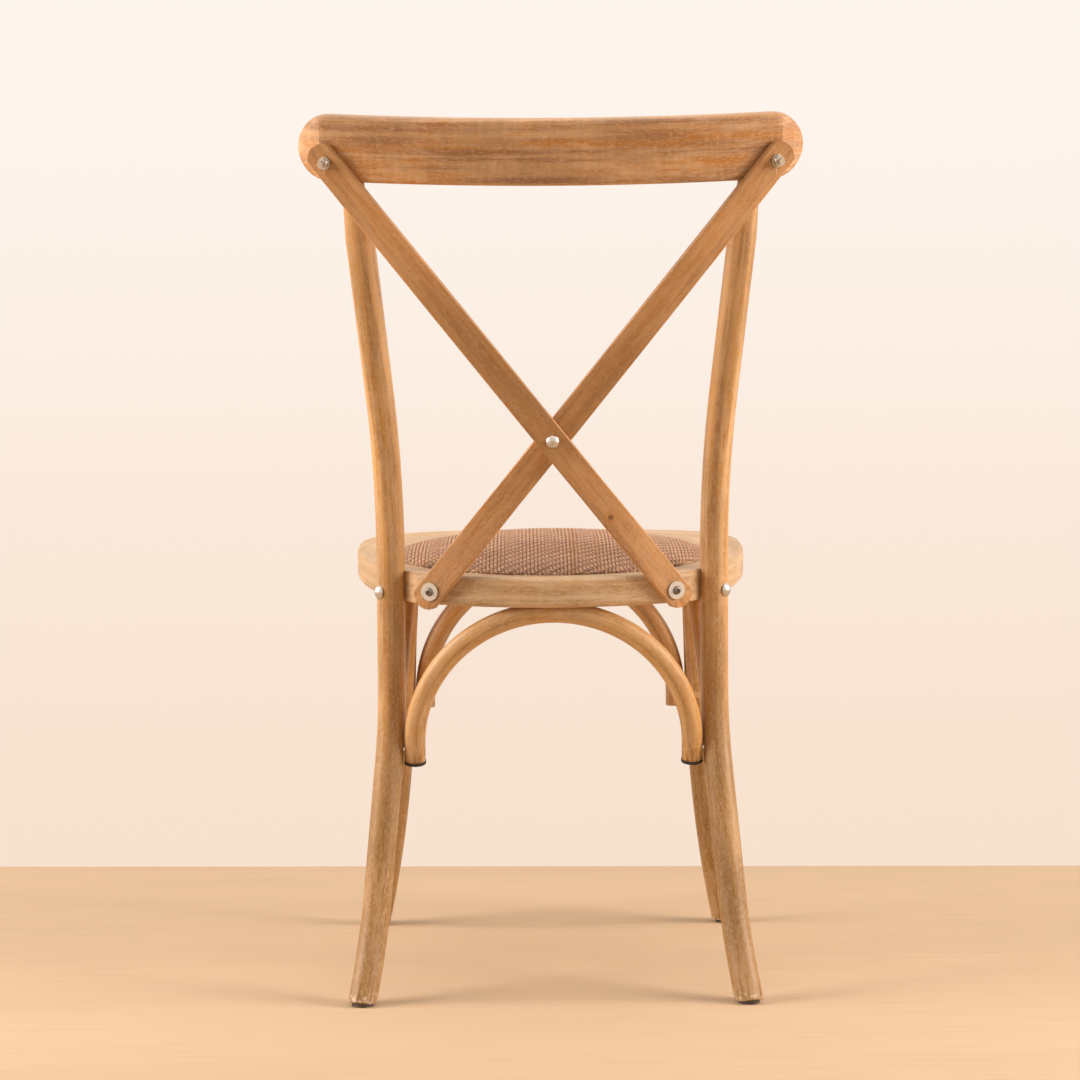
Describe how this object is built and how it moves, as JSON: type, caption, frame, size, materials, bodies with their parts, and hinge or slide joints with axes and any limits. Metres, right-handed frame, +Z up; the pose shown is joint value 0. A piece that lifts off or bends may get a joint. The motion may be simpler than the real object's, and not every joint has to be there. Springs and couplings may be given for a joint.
{
  "type": "dining chair",
  "caption": "Bentwood cross back dining chair with a round woven seat, crossed back straps and arched braces under the seat.",
  "frame": {"origin": "centre of the bounding box in plan, at floor level under the glides", "axes": "+Z up, +Y towards the chair's back, so the sitter faces -Y; +X is the sitter's left"},
  "size_m": [0.5, 0.4896, 0.8919],
  "materials": {
    "rod_wood": "limewashed, satin",
    "rail_wood": "limewashed, satin",
    "strap_wood": "smooth, satin",
    "ring_wood": "pale limewash, matte",
    "plywood": "raw",
    "foam": "soft foam",
    "woven_fibre": "woven paired strands",
    "bright_steel": "zinc plated",
    "dull_steel": "dull zinc",
    "black_rubber": "matte",
    "grey_plastic": "matte"
  },
  "bodies": {
    "root": {"arch_end_screws": "bright_steel", "arch_plugs": "rod_wood", "arch_top_screws": "bright_steel", "back_strap_inner": "strap_wood", "back_strap_outer": "strap_wood", "crest_bolts": "bright_steel", "crest_nuts": "bright_steel", "crest_rail": "rail_wood", "crest_washers": "bright_steel", "cross_bolt": "bright_steel", "cross_bolt_sleeve": "bright_steel", "front_arch": "rod_wood", "front_leg_left": "rod_wood", "front_leg_right": "rod_wood", "glide_nails": "bright_steel", "leg_glides": "grey_plastic", "rear_arch": "rod_wood", "rear_arch_pads": "black_rubber", "rear_leg_bolts": "bright_steel", "rear_leg_left": "rod_wood", "rear_leg_nuts": "bright_steel", "rear_leg_right": "rod_wood", "rear_leg_washers": "bright_steel", "seat_foam": "foam", "seat_panel": "plywood", "seat_panel_screws": "bright_steel", "seat_ring": "ring_wood", "seat_weave": "woven_fibre", "side_arch_left": "rod_wood", "side_arch_right": "rod_wood", "strap_screws": "dull_steel", "strap_washers": "dull_steel"}
  },
  "joints": []
}
